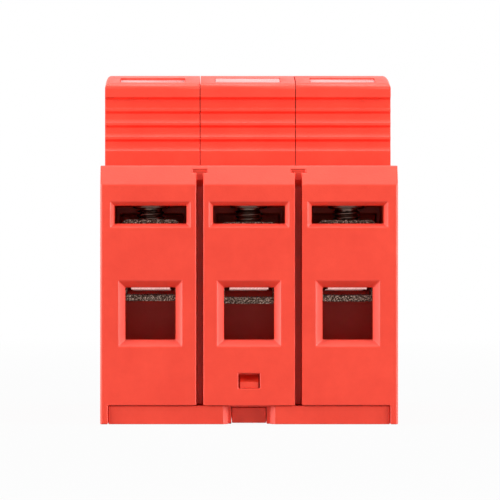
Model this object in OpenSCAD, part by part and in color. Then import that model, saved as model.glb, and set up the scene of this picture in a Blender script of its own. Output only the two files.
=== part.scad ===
// Three-pole pluggable surge arrester for a 35 mm rail, in millimetres.
// X runs across the poles, Y from the front terminals to the rear ones, Z up from the rail side.
// Terminal pieces are drawn at the front end (Y below 0) and mirrored for the rear end.

/* [Poles] */
// Distance from one pole to the next
pole_pitch = 17.9; // [17.5:0.1:19]
// Extra width of the base outside the end poles
side_margin = 0.15; // [0.05:0.05:1]

/* [Base outline] */
// Length of the base from terminal face to terminal face
base_len = 90; // [84:0.5:110]
// Height of the terminal blocks
shoulder_z = 46.95; // [45.5:0.05:54]
// Depth of the sloped edge at the top of a terminal face
slope_run = 2.1; // [1:0.1:2.6]
// Height of the sloped edge at the top of a terminal face
slope_rise = 3.55; // [2:0.05:5]
// Height of the bay floor that the cartridges stand on
bay_z = 21; // [20:0.1:23]
// Thickness of the bay floor
bay_floor_t = 2; // [1.2:0.1:2.6]
// Wall behind a terminal face
front_wall = 2; // [1.6:0.1:2.6]
// Wall between a terminal chamber and the bay
bay_wall = 1.5; // [1:0.1:2]
// Wall that stops the cable behind a clamp
stop_t = 1.2; // [0.8:0.1:1.5]
// Thickness of the two end walls
end_wall_t = 1.4; // [1:0.1:1.6]
// Height of the base plate edge seen under a terminal face
foot_h = 3.32; // [2.8:0.02:4]
// How far the base plate edge stands behind the terminal face
foot_inset = 0.5; // [0.2:0.1:1.2]
// Wall between the contact rooms of two poles
room_wall = 3.1; // [2:0.1:4]
// Wall between the front and rear contact rooms
mid_wall = 2.4; // [1.6:0.1:4]

/* [Grooves between poles] */
// Width of a groove
groove_w = 1.3; // [0.8:0.1:2]
// Depth of a groove
groove_depth = 13; // [6:0.5:13]
// Material left between the groove's top and the shoulder
groove_bridge = 0.7; // [0.5:0.1:1]
// Width of the shallow notch across a groove's top
notch_w = 2.7; // [2:0.1:4]
// Height of the shallow notch across a groove's top
notch_h = 0.65; // [0.4:0.05:1]
// Depth of the shallow notch into the slope
notch_depth = 0.25; // [0.15:0.05:1]
// Height of the ramp at a groove's top
groove_ramp = 2.6; // [1:0.1:4]
// Depth of the groove at the foot of its ramp
groove_ramp_depth = 4; // [2:0.1:6]

/* [Cable entries] */
// Width of a cable entry
entry_w = 9.1; // [8:0.1:9.6]
// Height of a cable entry
entry_h = 9.46; // [8:0.02:9.6]
// Height of a cable entry's middle
entry_z = 20.07; // [19.6:0.01:20.5]
// Bevel around a cable entry
entry_bevel = 1.24; // [0.6:0.02:1.5]
// Depth of the bevel around a cable entry
entry_bevel_depth = 1.4; // [0.6:0.1:1.5]

/* [Fork slots] */
// Width of a fork slot
slot_w = 13.1; // [12:0.1:13.8]
// Height of a fork slot
slot_h = 3.25; // [2.8:0.05:3.6]
// Height of a fork slot's middle
slot_z = 38.02; // [37.8:0.01:38.3]
// Bevel around a fork slot
slot_bevel = 0.72; // [0.4:0.02:0.9]
// Depth of the bevel around a fork slot
slot_bevel_depth = 0.9; // [0.4:0.1:1.4]
// Depth of a fork slot from the terminal face
slot_depth = 15; // [13:0.5:16]

/* [Clamp terminals] */
// Distance of the screw axis behind the terminal face
screw_in = 7.6; // [7.3:0.1:8]
// Diameter of the screw thread
screw_d = 5; // [4:0.1:5.4]
// Diameter of the screw head
head_d = 6.8; // [6.4:0.1:7]
// Height of the screw head
head_h = 3; // [2.4:0.1:3.2]
// Height of the underside of the screw head
head_z = 39.2; // [39:0.05:39.5]
// Bevel at both ends of the screw
screw_edge = 0.5; // [0.2:0.1:0.8]
// Diameter of the screwdriver hole
driver_d = 6.2; // [5:0.1:6.3]
// Width of the slots in the screw head
drive_slot_w = 1.1; // [0.8:0.1:1.6]
// Depth of the slots in the screw head
drive_slot_depth = 1.6; // [1:0.1:2]
// Outside width of a clamp cage
cage_w = 10.8; // [10:0.1:11]
// Outside height of a clamp cage
cage_h = 14.9; // [14.5:0.1:15.2]
// Length of a clamp cage along the cable
cage_len = 8.6; // [7.5:0.1:8.8]
// Thickness of the cage strip
strip_t = 1; // [0.8:0.05:1.2]
// Thickness of the toothed jaw
jaw_t = 1.3; // [1.1:0.1:1.5]
// Radius of the cage's outer bends
cage_bend = 1.4; // [0.8:0.1:2]
// Teeth across the clamp jaw
jaw_teeth = 16; // [8:1:20]
// Depth of the jaw teeth
tooth_depth = 0.2; // [0.1:0.05:0.4]
// Height of the underside of a cage that is not lifted
cage_z = 21.8; // [21.7:0.05:22]
// How far each front cage is lifted as the clamps stand
front_lift = [0.5, 0, 0.4];
// How far each rear cage is lifted as the clamps stand
rear_lift = [0.2, 0.4, 0.1];

/* [Contacts] */
// Width of a contact strap
strap_w = 7.2; // [6:0.1:8]
// Thickness of a contact strap
strap_t = 1.5; // [1:0.1:1.6]
// Height of the underside of the strap tongue
tongue_z = 24.4; // [24.35:0.05:24.6]
// Thickness of a socket clip
clip_t = 0.8; // [0.5:0.1:1]
// Length of a socket clip along the base
clip_len = 6; // [4:0.5:8]
// Flare at each side of a socket clip's mouth
clip_flare = 0.9; // [0.5:0.1:1.2]
// Height of that flare
clip_flare_h = 1.6; // [1:0.1:2.5]
// Thickness of a cartridge blade
blade_t = 0.8; // [0.6:0.1:1.2]
// Width of a cartridge blade
blade_w = 6; // [4:0.5:7]
// How far a blade reaches below its cartridge
blade_reach = 9; // [7:0.5:10]
// Distance of a blade's middle from the cartridge's end
blade_inset = 6.9; // [6:0.1:9]
// Bevel at a blade's tip
blade_point = 0.3; // [0.1:0.05:0.35]
// Margin between a blade's plate and the varistor's edges
plate_margin = 4; // [2:0.5:6]

/* [Rail channel] */
// Width of the rail
rail_w = 35; // [35:0.1:36]
// Thickness of the rail flange
rail_t = 1; // [0.8:0.1:1.2]
// Height of the seat that rests on the rail
rail_seat_z = 5.5; // [5.2:0.1:5.8]
// Clearance beside the rail at each edge
rail_clear = 0.3; // [0.2:0.05:0.6]
// How far a hook reaches under the rail flange
hook_grip = 1.3; // [0.8:0.1:2]
// Thickness of a hook's tip
hook_t = 1.2; // [0.8:0.1:1.5]
// Bevel that leads the rail in
lead_in = 0.8; // [0.4:0.1:1.2]
// Thickness of the base plate over the rail
plate_t = 1.9; // [1.5:0.1:2]

/* [Rail latch] */
// Width of the latch
latch_w = 6.2; // [5:0.1:6.6]
// Distance of the latch's end behind the terminal face
latch_in = 2.6; // [1.5:0.1:3]
// Height of the latch's underside
latch_z = 0.35; // [0.2:0.05:0.6]
// Thickness of the latch
latch_t = 2.6; // [2:0.1:2.6]
// Travel of the latch
latch_travel = 4; // [2:0.5:4]
// Width of the notch in the base plate edge around the latch
latch_notch_w = 7.6; // [7:0.1:8.4]
// Bevel at the sides of that notch
latch_notch_bevel = 0.9; // [0.4:0.1:1.2]
// Length of the latch's nose
nose_len = 3; // [2:0.1:4]
// Width of the guide rib at each side of the latch
latch_wing = 1.2; // [0.8:0.1:1.5]
// Thickness of the guide ribs
latch_wing_t = 0.8; // [0.6:0.1:1]
// Distance of the spring's post behind the latch's end
post_in = 6.2; // [5:0.1:7]
// Thickness of the spring's post
post_len = 1.6; // [1:0.1:2]
// Distance of the screwdriver slot behind the latch's end
pry_in = 1.4; // [1:0.1:2]
// Width of the screwdriver slot
pry_w = 3.2; // [2:0.1:4]
// Length of the screwdriver slot along the latch
pry_len = 1.6; // [1:0.1:2]
// Length of the latch spring at rest
latch_spring_len = 10; // [9:0.5:10.5]
// Outside diameter of the latch spring
latch_spring_d = 2.2; // [1.6:0.1:2.3]
// Wire of the springs
spring_wire = 0.4; // [0.3:0.05:0.5]

/* [Snap windows] */
// Width of a snap window
window_w = 3.9; // [3:0.1:5]
// Height of a snap window
window_h = 2.27; // [1.8:0.01:3]
// Height of a snap window's lower edge
window_z = 6.95; // [6.5:0.05:8]
// How much wider the snap tongue is than its window
tongue_extra = 0.6; // [0.2:0.1:1]
// Thickness of the snap tongue
tongue_t = 1.3; // [1:0.1:1.6]
// Width of the slots beside and behind the snap tongue
tongue_slot = 0.7; // [0.4:0.1:1]
// Height of the snap tongue's root above the base plate
tongue_root = 0.8; // [0.4:0.1:1.2]

/* [Cartridges] */
// Length of a cartridge
plug_len = 44.8; // [43:0.1:46]
// Gap from one cartridge to the next
plug_gap = 0.16; // [0.1:0.01:0.4]
// Height of the crest of the arched top
crest_z = 65.2; // [64:0.1:68]
// Rise of the arch from a cartridge's end to its crest
arch_rise = 2.4; // [1.5:0.1:3]
// Radius of the rounded edge at each end of the top
lip_round = 1.2; // [0.6:0.1:1.6]
// Radius of the outer top edges of the end cartridges
side_round = 0.8; // [0.4:0.1:2]
// Height of the lip at each end of the top
lip_h = 2.8; // [2:0.1:4]
// How far the lip stands out from the end face
lip_out = 0.5; // [0.2:0.1:1]
// Number of finger flutes at each end
flutes = 4; // [2:1:4]
// Distance from one flute to the next
flute_pitch = 2.62; // [2.4:0.02:2.8]
// Height of one flute
flute_h = 1.95; // [1.6:0.05:2.35]
// Depth of one flute
flute_depth = 0.3; // [0.2:0.05:0.7]
// Distance of the flat pad on each side of a cartridge from its edges
pad_inset = 1.4; // [1:0.1:3]
// Side wall of a cartridge shell
shell_t = 1.2; // [0.8:0.1:1.6]
// End wall of a cartridge shell
shell_end_t = 1.8; // [1.4:0.1:2.2]
// Thickness of a cartridge floor
plug_floor_t = 2; // [1.5:0.1:2.5]

/* [Status windows and flags] */
// Width of a status window
lens_w = 12.2; // [9:0.1:13]
// Length of a status window
lens_len = 6.2; // [4:0.1:7]
// Distance of a status window from the cartridge's end
lens_inset = 1.6; // [1.4:0.1:3]
// How deep a status window sits in the top
lens_sink = 0.3; // [0.1:0.05:0.5]
// Thickness of a status window at its outer edge
lens_t = 1.2; // [0.8:0.1:1.4]
// Width of the ledge under a status window
lens_ledge = 0.7; // [0.4:0.1:1]
// Thickness of the ledge under a status window
ledge_t = 1.2; // [0.8:0.1:1.3]
// Thickness of a trip flag
flag_t = 1.2; // [0.8:0.1:1.4]
// Width of a trip flag
flag_w = 11; // [9:0.5:12]
// Length of a trip flag
flag_len = 13.6; // [12:0.1:15]
// Thickness of a trip flag's leg
flag_leg_t = 2.4; // [1.6:0.1:3]
// Gap above a trip flag
flag_gap = 0.9; // [0.5:0.1:1.2]
// Travel of a trip flag
flag_travel = 9; // [6:0.5:10]
// Outside diameter of a flag spring
flag_spring_d = 3; // [2:0.1:3.2]

/* [Varistors] */
// Length of a varistor block
varistor_len = 34; // [30:0.5:36]
// Thickness of a varistor block
varistor_t = 7; // [5:0.1:7.4]
// Height of a varistor block above its cartridge floor
varistor_lift = 2.8; // [2:0.1:3.5]
// How far a varistor block stands beside the cartridge's middle
varistor_off = 0.5; // [0:0.1:1]

/* [Clearances] */
// Gap between pieces that slide on each other
slide_gap = 0.1; // [0.06:0.01:0.2]
// Gap between fixed pieces and the walls around them
seat_gap = 0.3; // [0.2:0.05:0.4]
// Gap between pieces pushed together
push_gap = 0.05; // [0.03:0.01:0.08]
// Gap at each side of the latch spring
spring_gap = 0.25; // [0.15:0.05:0.4]

/* [Hidden] */
$fn = 64;
// Far enough past any face to cut through it
past = 1;

base_w = 3 * pole_pitch + 2 * side_margin;
face_y = base_len / 2;
bay_half = plug_len / 2 + seat_gap;
house_foot_z = foot_h + slide_gap;
plate_top_z = rail_seat_z + plate_t;
house_mid_z = plate_top_z + slide_gap;

// Terminal chamber
screw_y = -face_y + screw_in;
cage_front_y = screw_y - cage_len / 2;
cage_back_y = screw_y + cage_len / 2;
chamber_front_y = -face_y + front_wall;
chamber_w = cage_w + 2 * (seat_gap + slide_gap);
chamber_back_y = -bay_half - bay_wall;
riser_back_y = chamber_back_y - seat_gap - slide_gap;
riser_front_y = riser_back_y - strap_t;
plate_step_y = riser_front_y - seat_gap - slide_gap;
cage_open_w = cage_w - 2 * strip_t;
cage_top_t = 2 * strip_t;
jaw_low_z = entry_z - entry_h / 2 - jaw_t;
tower_top_z = jaw_low_z - seat_gap - 4 * slide_gap;
tower_w = chamber_w - 2 * seat_gap;
cage_high_z = tongue_z - jaw_t + cage_h;
chamber_top_z = cage_high_z + seat_gap;
head_room_d = head_d + 2 * seat_gap;
head_room_z = head_z + head_h + seat_gap;

// Contacts
foot_z = plate_top_z + slide_gap;
clip_z = foot_z + strap_t;
blade_y = plug_len / 2 - blade_inset;
clip_gap = blade_t + 2 * push_gap;
clip_w = clip_gap + 2 * clip_t;
clip_top_z = bay_z - bay_floor_t - seat_gap - slide_gap;
strap_end_y = -blade_y + clip_len / 2 + seat_gap;
strap_room_w = pole_pitch - room_wall;

// Rail channel
rail_half = rail_w / 2 + rail_clear;
hook_y = rail_w / 2 - hook_grip;
hook_top_z = rail_seat_z - rail_t - rail_clear;
plate_half_w = base_w / 2 - end_wall_t - slide_gap;
plate_half_len = face_y - foot_inset;

// Latch
latch_end_y = -face_y + latch_in;
latch_top_z = latch_z + latch_t;
latch_slot_w = latch_w + 2 * slide_gap;
latch_wing_z = latch_z + latch_t / 2 - latch_wing_t / 2;
post_y = latch_end_y + post_in;
spring_room_y0 = post_y - slide_gap;
spring_room_y1 = post_y + post_len + latch_spring_len + 2 * push_gap;
spring_room_w = latch_spring_d + 2 * spring_gap;

// Cartridges
plug_w = pole_pitch - plug_gap;
plug_z = bay_z + seat_gap - slide_gap;
arch_r = (plug_len * plug_len / 4 + arch_rise * arch_rise) / (2 * arch_rise);
arch_z = crest_z - arch_r;
plug_half = plug_len / 2;
lip_half = plug_half + lip_out;
pad_t = (plug_gap - push_gap) / 2;
lip_z = crest_z - arch_rise - lip_h;
room_half_w = plug_w / 2 - shell_t;
room_half_len = plug_half - shell_end_t;
lens_y0 = -plug_half + lens_inset;
lens_y1 = lens_y0 + lens_len;
arch_end_z = arch_z + sqrt(arch_r * arch_r - lens_y0 * lens_y0);
room_top_z = arch_end_z - lens_sink - lens_t - ledge_t;
floor_top_z = plug_z + plug_floor_t;
varistor_z = floor_top_z + varistor_lift;
flag_z = room_top_z - flag_gap - flag_t;
varistor_top_z = flag_z - seat_gap;
varistor_h = varistor_top_z - varistor_z;
varistor_x0 = -varistor_t / 2 - varistor_off;
varistor_x1 = varistor_x0 + varistor_t;
blade_tip_z = plug_z - blade_reach;
flag_y0 = -room_half_len + seat_gap;
flag_y1 = flag_y0 + flag_len;
leg_y0 = flag_y1 - flag_leg_t;
leg_x0 = varistor_x1 + blade_t + seat_gap;
leg_x1 = room_half_w - seat_gap;
flag_spring_x = (leg_x0 + leg_x1) / 2;
flag_spring_z = varistor_z + varistor_h * 0.75;

RED = [0.84, 0.16, 0.11];
STEEL = [0.72, 0.73, 0.75];
TIN = [0.80, 0.78, 0.74];
COPPER = [0.80, 0.52, 0.36];

// A box from its low corner to its high corner
module block(low, high) {
    translate(low) cube(high - low);
}

// A Y-Z outline carried across X, centred on the middle
module across(width) {
    translate([-width / 2, 0, 0]) rotate([90, 0, 90]) linear_extrude(width) children();
}

// An X-Z outline carried along Y
module along(y0, y1) {
    translate([0, y1, 0]) rotate([90, 0, 0]) linear_extrude(y1 - y0) children();
}

// Places a front terminal piece at its pole, and turns it to the rear end where asked
module at_terminal(pole, rear) {
    translate([(pole - 1) * pole_pitch, 0, 0]) mirror([0, rear, 0]) children();
}

module at_pole(pole) {
    translate([(pole - 1) * pole_pitch, 0, 0]) children();
}

function lift(pole, rear) = rear == 1 ? rear_lift[pole] : front_lift[pole];

// A rectangle with true round corners
module round_rect(w, h, r) {
    union() {
        square([w - 2 * r, h], center = true);
        square([w, h - 2 * r], center = true);
        for (x = [-1, 1]) {
            for (y = [-1, 1]) {
                translate([x * (w / 2 - r), y * (h / 2 - r)]) circle(r);
            }
        }
    }
}

// A four-sided bevel that opens toward the front face, drawn past it
module face_funnel(w, h, z, bevel, depth) {
    grow = bevel * (1 + past / depth);
    intersection() {
        translate([0, 0, z - h]) linear_extrude(2 * h) polygon([
            [-w / 2 - grow, -face_y - past],
            [w / 2 + grow, -face_y - past],
            [w / 2, -face_y + depth],
            [-w / 2, -face_y + depth]
        ]);
        across(2 * w) polygon([
            [-face_y - past, z - h / 2 - grow],
            [-face_y + depth, z - h / 2],
            [-face_y + depth, z + h / 2],
            [-face_y - past, z + h / 2 + grow]
        ]);
    }
}

// Points of one round section along a coil whose axis is Z
function coil_ring(t, coil_r, length, turns, sides) = [
    for (j = [0 : sides - 1])
        let (
            a = 360 * turns * t,
            b = 360 * j / sides,
            rr = coil_r + spring_wire / 2 * cos(b)
        )
        [rr * cos(a), rr * sin(a), spring_wire / 2 + t * (length - spring_wire) + spring_wire / 2 * sin(b)]
];

module coil(outer_d, length, turns) {
    sides = 8;
    rings = turns * 14;
    coil_r = (outer_d - spring_wire) / 2;
    points = [
        for (i = [0 : rings])
            for (p = coil_ring(i / rings, coil_r, length, turns, sides)) p
    ];
    skin = [
        for (i = [0 : rings - 1])
            for (j = [0 : sides - 1])
                let (k = (j + 1) % sides)
                [i * sides + j, (i + 1) * sides + j, (i + 1) * sides + k, i * sides + k]
    ];
    first_end = [[for (j = [0 : sides - 1]) j]];
    last_end = [[for (j = [sides - 1 : -1 : 0]) rings * sides + j]];
    polyhedron(points = points, faces = concat(skin, first_end, last_end));
}

// Outline of the housing from the side: two terminal blocks joined under the bay
module housing_outline() {
    polygon([
        [-face_y, house_foot_z],
        [-face_y, shoulder_z - slope_rise],
        [-face_y + slope_run, shoulder_z],
        [-bay_half, shoulder_z],
        [-bay_half, bay_z],
        [bay_half, bay_z],
        [bay_half, shoulder_z],
        [face_y - slope_run, shoulder_z],
        [face_y, shoulder_z - slope_rise],
        [face_y, house_foot_z],
        [-plate_step_y + slide_gap, house_foot_z],
        [-plate_step_y + slide_gap, house_mid_z],
        [plate_step_y - slide_gap, house_mid_z],
        [plate_step_y - slide_gap, house_foot_z]
    ]);
}

// The rail channel from the side, with the fixed hook at the rear
module rail_channel() {
    polygon([
        [-rail_half - lead_in, -past],
        [-rail_half - lead_in, 0],
        [-rail_half, lead_in],
        [-rail_half, rail_seat_z],
        [rail_half, rail_seat_z],
        [rail_half, hook_top_z],
        [hook_y, hook_top_z],
        [hook_y, hook_top_z - hook_t],
        [rail_half + lead_in, 0],
        [rail_half + lead_in, -past]
    ]);
}

// An end wall below the housing, with the rail channel cut through it
module end_wall() {
    across(end_wall_t) difference() {
        polygon([
            [-face_y, 0],
            [-face_y, house_mid_z + past],
            [face_y, house_mid_z + past],
            [face_y, 0]
        ]);
        rail_channel();
    }
}

// The groove between two poles, with a ramp at its top and a shallow notch across it
module pole_groove() {
    top_z = shoulder_z - groove_bridge;
    low_z = top_z - notch_h;
    notch_y = -face_y + slope_run * (1 - groove_bridge / slope_rise) + notch_depth;
    across(groove_w) polygon([
        [-face_y - past, house_foot_z - past],
        [-face_y + groove_depth, house_foot_z - past],
        [-face_y + groove_depth, low_z - groove_ramp],
        [-face_y + groove_ramp_depth, low_z - groove_ramp],
        [notch_y, low_z],
        [-face_y - past, low_z]
    ]);
    block([-notch_w / 2, -face_y - past, low_z], [notch_w / 2, notch_y, top_z]);
}

// Everything that one terminal takes out of the housing
module terminal_room() {
    face_funnel(entry_w, entry_h, entry_z, entry_bevel, entry_bevel_depth);
    block(
        [-entry_w / 2, -face_y, entry_z - entry_h / 2],
        [entry_w / 2, chamber_front_y + past, entry_z + entry_h / 2]
    );
    face_funnel(slot_w, slot_h, slot_z, slot_bevel, slot_bevel_depth);
    block(
        [-slot_w / 2, -face_y, slot_z - slot_h / 2],
        [slot_w / 2, -face_y + slot_depth, slot_z + slot_h / 2]
    );
    block(
        [-chamber_w / 2, chamber_front_y, house_foot_z - past],
        [chamber_w / 2, chamber_back_y, chamber_top_z]
    );
    translate([0, screw_y, slot_z]) cylinder(h = head_room_z - slot_z, d = head_room_d);
    translate([0, screw_y, slot_z]) cylinder(h = shoulder_z - slot_z + past, d = driver_d);
    block(
        [-strap_room_w / 2, chamber_back_y - past, house_mid_z - past],
        [strap_room_w / 2, -mid_wall / 2, bay_z - bay_floor_t]
    );
    block(
        [-blade_t / 2 - seat_gap, -blade_y - blade_w / 2 - seat_gap, bay_z - bay_floor_t - past],
        [blade_t / 2 + seat_gap, -blade_y + blade_w / 2 + seat_gap, bay_z + past]
    );
}

module base_housing() {
    color(RED) difference() {
        union() {
            across(base_w) housing_outline();
            for (side = [-1, 1]) {
                translate([side * (base_w - end_wall_t) / 2, 0, 0]) end_wall();
            }
        }
        for (rear = [0, 1]) {
            for (pole = [0 : 2]) {
                at_terminal(pole, rear) terminal_room();
            }
            mirror([0, rear, 0]) {
                for (side = [-1, 1]) {
                    translate([side * pole_pitch / 2, 0, 0]) pole_groove();
                }
                block(
                    [-window_w / 2, -face_y - past, window_z],
                    [window_w / 2, chamber_front_y + past, window_z + window_h]
                );
            }
        }
    }
}

// Outline of the base plate from the side
module plate_outline() {
    difference() {
        polygon([
            [-plate_half_len, 0],
            [-plate_half_len, foot_h],
            [plate_step_y, foot_h],
            [plate_step_y, plate_top_z],
            [-plate_step_y, plate_top_z],
            [-plate_step_y, foot_h],
            [plate_half_len, foot_h],
            [plate_half_len, 0]
        ]);
        rail_channel();
    }
}

// The floor of a terminal chamber, standing on the base plate, with the wall that stops the cable
module chamber_tower() {
    block(
        [-tower_w / 2, chamber_front_y + seat_gap, foot_h - slide_gap],
        [tower_w / 2, plate_step_y, tower_top_z]
    );
    block(
        [-tower_w / 2, plate_step_y - stop_t, foot_h - slide_gap],
        [tower_w / 2, plate_step_y, tongue_z - seat_gap]
    );
}

// Slots that free the snap tongue from its tower
module tongue_slots() {
    tongue_w = window_w + tongue_extra;
    front = chamber_front_y + seat_gap;
    low_z = foot_h + tongue_root;
    difference() {
        block(
            [-tongue_w / 2 - tongue_slot, front - past, low_z],
            [tongue_w / 2 + tongue_slot, front + tongue_t + tongue_slot, tower_top_z + past]
        );
        block(
            [-tongue_w / 2, front - 2 * past, low_z - past],
            [tongue_w / 2, front + tongue_t, tower_top_z + 2 * past]
        );
    }
}

// The wedge on a snap tongue that fills the window
module tongue_catch() {
    front = chamber_front_y + seat_gap;
    across(window_w - 2 * slide_gap) polygon([
        [front + push_gap, window_z + push_gap],
        [-face_y + seat_gap, window_z + push_gap],
        [-face_y + seat_gap, window_z + seat_gap + push_gap],
        [front + push_gap, window_z + window_h - seat_gap]
    ]);
}

// The way that the latch takes through the base plate
module latch_way() {
    block(
        [-latch_slot_w / 2, -face_y - past, -past],
        [latch_slot_w / 2, -rail_half + past, latch_top_z + slide_gap]
    );
    block(
        [-latch_slot_w / 2, -hook_y - nose_len - latch_travel - 2 * slide_gap, latch_z],
        [latch_slot_w / 2, -rail_half + past, hook_top_z + 2 * slide_gap]
    );
    block(
        [-latch_slot_w / 2 - latch_wing, -face_y, latch_wing_z - slide_gap],
        [latch_slot_w / 2 + latch_wing, spring_room_y1 + slide_gap, latch_wing_z + latch_wing_t + slide_gap]
    );
    translate([0, 0, -past]) linear_extrude(foot_h + 2 * past) polygon([
        [-latch_notch_w / 2 - latch_notch_bevel, -plate_half_len],
        [-latch_notch_w / 2 - latch_notch_bevel, -plate_half_len - past],
        [latch_notch_w / 2 + latch_notch_bevel, -plate_half_len - past],
        [latch_notch_w / 2 + latch_notch_bevel, -plate_half_len],
        [latch_notch_w / 2, -plate_half_len + latch_notch_bevel],
        [latch_notch_w / 2, chamber_front_y + seat_gap],
        [-latch_notch_w / 2, chamber_front_y + seat_gap],
        [-latch_notch_w / 2, -plate_half_len + latch_notch_bevel]
    ]);
}

module base_plate() {
    color(RED) union() {
        difference() {
            union() {
                across(2 * plate_half_w) plate_outline();
                for (rear = [0, 1]) {
                    for (pole = [0 : 2]) {
                        at_terminal(pole, rear) chamber_tower();
                    }
                }
            }
            latch_way();
            for (rear = [0, 1]) {
                mirror([0, rear, 0]) tongue_slots();
            }
        }
        for (rear = [0, 1]) {
            mirror([0, rear, 0]) tongue_catch();
        }
        // Post that the latch spring pushes against
        block(
            [-latch_spring_d / 2, post_y, latch_z + slide_gap],
            [latch_spring_d / 2, post_y + post_len, latch_top_z + 2 * slide_gap]
        );
    }
}

module rail_latch() {
    color(RED) difference() {
        union() {
            across(latch_w) polygon([
                [latch_end_y, latch_z],
                [latch_end_y, latch_top_z],
                [-hook_y - nose_len, latch_top_z],
                [-hook_y - nose_len, hook_top_z],
                [-hook_y, hook_top_z],
                [-hook_y, hook_top_z - hook_t],
                [-hook_y - nose_len, latch_z]
            ]);
            block(
                [-latch_w / 2 - latch_wing, latch_end_y + latch_travel + 2 * seat_gap, latch_wing_z],
                [latch_w / 2 + latch_wing, spring_room_y1, latch_wing_z + latch_wing_t]
            );
        }
        block(
            [-spring_room_w / 2, spring_room_y0, latch_z - past],
            [spring_room_w / 2, spring_room_y1, latch_top_z + past]
        );
        // Slot for a screwdriver
        block(
            [-pry_w / 2, latch_end_y + pry_in, latch_z - past],
            [pry_w / 2, latch_end_y + pry_in + pry_len, latch_top_z + past]
        );
    }
}

module latch_spring() {
    color(STEEL) translate([0, post_y + post_len + push_gap, latch_z + latch_t / 2])
        rotate([-90, 0, 0]) coil(latch_spring_d, latch_spring_len, 9);
}

// A copper strap: tongue in the clamp, riser behind it and foot under the bay
module contact_strap(pole, rear) {
    color(TIN) at_terminal(pole, rear) across(strap_w) polygon([
        [cage_front_y - seat_gap, tongue_z],
        [cage_front_y - seat_gap, tongue_z + strap_t],
        [riser_back_y, tongue_z + strap_t],
        [riser_back_y, foot_z + strap_t],
        [strap_end_y, foot_z + strap_t],
        [strap_end_y, foot_z],
        [riser_front_y, foot_z],
        [riser_front_y, tongue_z]
    ]);
}

// A folded clip that grips the blade, flared at its mouth
module socket_clip(pole, rear) {
    color(COPPER) at_terminal(pole, rear) along(-blade_y - clip_len / 2, -blade_y + clip_len / 2) polygon([
        [-clip_w / 2, clip_z],
        [-clip_w / 2, clip_top_z - clip_flare_h],
        [-clip_w / 2 - clip_flare, clip_top_z],
        [-clip_w / 2 - clip_flare + clip_t, clip_top_z],
        [-clip_gap / 2, clip_top_z - clip_flare_h],
        [-clip_gap / 2, clip_z + clip_t],
        [clip_gap / 2, clip_z + clip_t],
        [clip_gap / 2, clip_top_z - clip_flare_h],
        [clip_w / 2 + clip_flare - clip_t, clip_top_z],
        [clip_w / 2 + clip_flare, clip_top_z],
        [clip_w / 2, clip_top_z - clip_flare_h],
        [clip_w / 2, clip_z]
    ]);
}

module terminal_screw(pole, rear) {
    tip_z = tongue_z + strap_t + slide_gap;
    color(STEEL) at_terminal(pole, rear) translate([0, screw_y, 0]) difference() {
        union() {
            translate([0, 0, tip_z]) cylinder(h = screw_edge, d1 = screw_d - 2 * screw_edge, d2 = screw_d);
            translate([0, 0, tip_z + screw_edge]) cylinder(h = head_z - tip_z - screw_edge, d = screw_d);
            translate([0, 0, head_z]) cylinder(h = head_h - screw_edge, d = head_d);
            translate([0, 0, head_z + head_h - screw_edge])
                cylinder(h = screw_edge, d1 = head_d, d2 = head_d - 2 * screw_edge);
        }
        block(
            [-drive_slot_w / 2, -head_d, head_z + head_h - drive_slot_depth],
            [drive_slot_w / 2, head_d, head_z + head_h + past]
        );
        block(
            [-head_d * 0.32, -drive_slot_w / 2, head_z + head_h - drive_slot_depth],
            [head_d * 0.32, drive_slot_w / 2, head_z + head_h + past]
        );
    }
}

// The opening of a clamp cage: toothed jaw below, doubled strip above
module cage_opening() {
    tooth = cage_open_w / jaw_teeth;
    jaw_z = -cage_h / 2 + jaw_t;
    top_z = cage_h / 2 - cage_top_t;
    polygon(concat(
        [[-cage_open_w / 2, top_z], [-cage_open_w / 2, jaw_z]],
        [
            for (i = [0 : jaw_teeth - 1])
                for (half = [0.5, 1])
                    [-cage_open_w / 2 + (i + half) * tooth, jaw_z - (half < 1 ? tooth_depth : 0)]
        ],
        [[cage_open_w / 2, top_z]]
    ));
}

module clamp_cage(pole, rear) {
    color(STEEL) at_terminal(pole, rear) translate([0, 0, cage_z + lift(pole, rear)]) difference() {
        translate([0, 0, cage_h / 2]) along(cage_front_y, cage_back_y) difference() {
            round_rect(cage_w, cage_h, cage_bend);
            cage_opening();
        }
        translate([0, screw_y, cage_h / 2]) cylinder(h = cage_h, d = screw_d + 2 * slide_gap);
    }
}

// Section of an arched top against radius: square, or rounded where a radius is given
module top_section(x0, x1, radius, round0, round1) {
    depth = crest_z - plug_z + 4 * past;
    difference() {
        translate([radius - depth, x0]) square([depth, x1 - x0]);
        if (round0 > 0) {
            difference() {
                translate([radius - round0, x0 - past]) square([round0 + past, round0 + past]);
                translate([radius - round0, x0 + round0]) circle(round0);
            }
        }
        if (round1 > 0) {
            difference() {
                translate([radius - round1, x1 - round1]) square([round1 + past, round1 + past]);
                translate([radius - round1, x1 - round1]) circle(round1);
            }
        }
    }
}

// A body with an arched top, swung about the arch's axis
module arched(x0, x1, radius, round0, round1) {
    translate([0, 0, arch_z]) rotate([90, 0, 90]) rotate([0, 0, 60]) rotate_extrude(angle = 60, $fn = 720)
        top_section(x0, x1, radius, round0, round1);
}

// What the rounded edge at an end of the top takes away
module lip_corner() {
    r = lip_round;
    c_y = lip_half - r;
    c_z = arch_z + sqrt((arch_r - r) * (arch_r - r) - c_y * c_y);
    touch_y = c_y * arch_r / (arch_r - r);
    difference() {
        polygon([
            [-lip_half - past, c_z],
            [-lip_half - past, crest_z + past],
            [-touch_y, crest_z + past],
            [-touch_y, c_z]
        ]);
        translate([-c_y, c_z]) circle(r);
    }
}

// Side outline of a cartridge below its arch
module plug_outline() {
    polygon([
        [-plug_half, plug_z],
        [-plug_half, lip_z],
        [-lip_half, lip_z],
        [-lip_half, crest_z + past],
        [lip_half, crest_z + past],
        [lip_half, lip_z],
        [plug_half, lip_z],
        [plug_half, plug_z]
    ]);
}

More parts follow.
